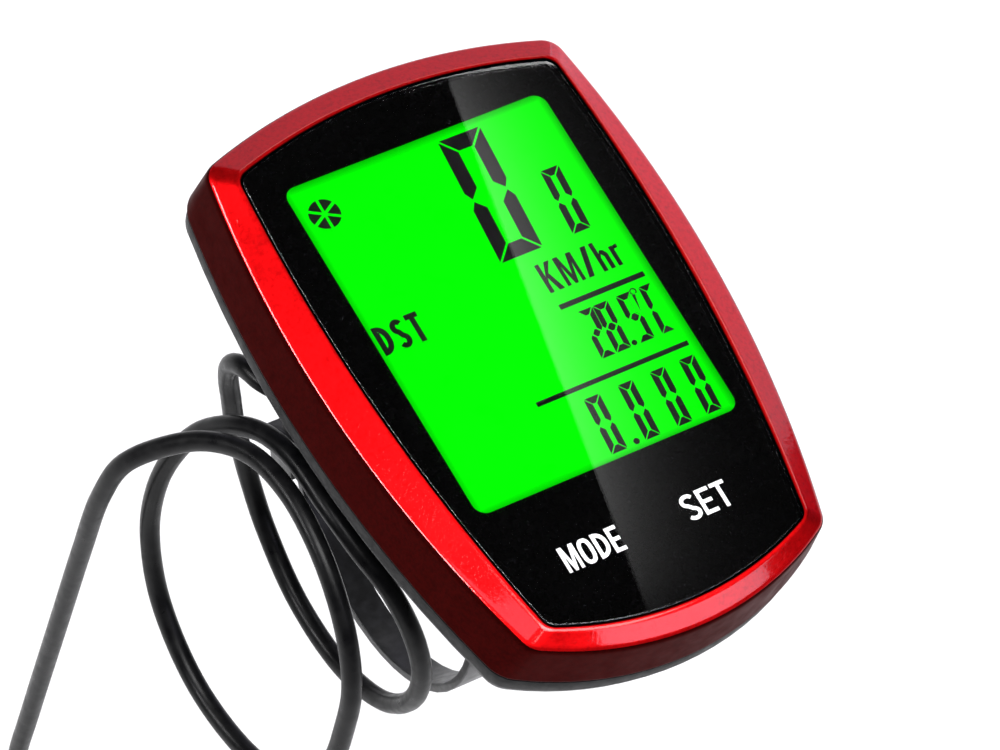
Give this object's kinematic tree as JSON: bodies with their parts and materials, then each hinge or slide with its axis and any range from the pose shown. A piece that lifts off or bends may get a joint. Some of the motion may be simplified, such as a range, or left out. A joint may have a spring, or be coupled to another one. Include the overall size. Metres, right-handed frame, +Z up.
{
  "type": "cycling computer",
  "caption": "Wired handlebar cycling computer: display head with rear buttons and coin-slot battery cover, slide-off bar bracket, sensor lead and fork sensor.",
  "frame": {"origin": "on the axis of the 31.8 mm handlebar, under the middle of the bracket saddle", "axes": "+X along the handlebar to the rider's right, +Y forward, towards the top of the screen, +Z up, out of the screen"},
  "size_m": [0.0643, 0.0698, 0.1992],
  "materials": {
    "red_bezel": "satin metallic lacquer",
    "clear_lens": "polished clear plastic",
    "black_print": "gloss black print",
    "lcd_glass": "backlit green display glass",
    "light_guide": "clear moulding with printed back",
    "clear_glass": "clear glass tube",
    "shell_plastic": "fine spark texture",
    "satin_plastic": "satin",
    "rubber": "matt",
    "cable_jacket": "satin",
    "board": "solder mask",
    "epoxy": "gloss",
    "steel": "bright",
    "brass": "plated",
    "nylon": "satin nylon"
  },
  "bodies": {
    "bracket": {"bracket_base": "satin_plastic", "bar_pad": "rubber", "bracket_contact_left": "brass", "bracket_contact_right": "brass", "cable_tie_left": "nylon", "cable_tie_right": "nylon", "cable_boot": "rubber", "cable_lead": "cable_jacket", "cable_coil": "cable_jacket", "coil_tie": "nylon", "cable_tail": "cable_jacket", "sensor_boot": "rubber", "sensor_case": "shell_plastic", "reed_switch": "clear_glass", "sensor_pad": "rubber"},
    "head": {"back_shell": "shell_plastic", "battery_clip": "steel", "battery_spring": "steel", "case_gasket": "rubber", "case_screw_1": "steel", "case_screw_2": "steel", "case_screw_3": "steel", "case_screw_4": "steel", "circuit_board": "board", "coin_cell": "steel", "contact_strip_lower": "rubber", "contact_strip_upper": "rubber", "front_bezel": "red_bezel", "head_contact_left": "brass", "head_contact_right": "brass", "lcd_panel": "lcd_glass", "lens": "clear_lens", "lens_mask": "black_print", "light_guide": "light_guide", "mode_switch": "epoxy", "processor_blob": "epoxy", "set_switch": "epoxy", "timing_crystal": "steel"},
    "mode_button": {"mode_button": "rubber"},
    "set_button": {"set_button": "rubber"},
    "battery_cover": {"battery_cover": "shell_plastic", "battery_cover_seal": "rubber"}
  },
  "joints": [
    {"name": "head_slide", "type": "slide", "parent": "bracket", "child": "head", "axis": [0, 1, 0], "range_m": [0, 0.075]},
    {"name": "mode_press", "type": "slide", "parent": "head", "child": "mode_button", "axis": [0, 0, 1], "range_m": [0, 0.0005], "stiffness_N_per_m": 2500},
    {"name": "set_press", "type": "slide", "parent": "head", "child": "set_button", "axis": [0, 0, 1], "range_m": [0, 0.0005], "stiffness_N_per_m": 2500},
    {"name": "cover_turn", "type": "hinge", "parent": "head", "child": "battery_cover", "pos_m": [0, 0, 0.0235], "axis": [0, 0, 1], "range_deg": [0, 45]}
  ]
}
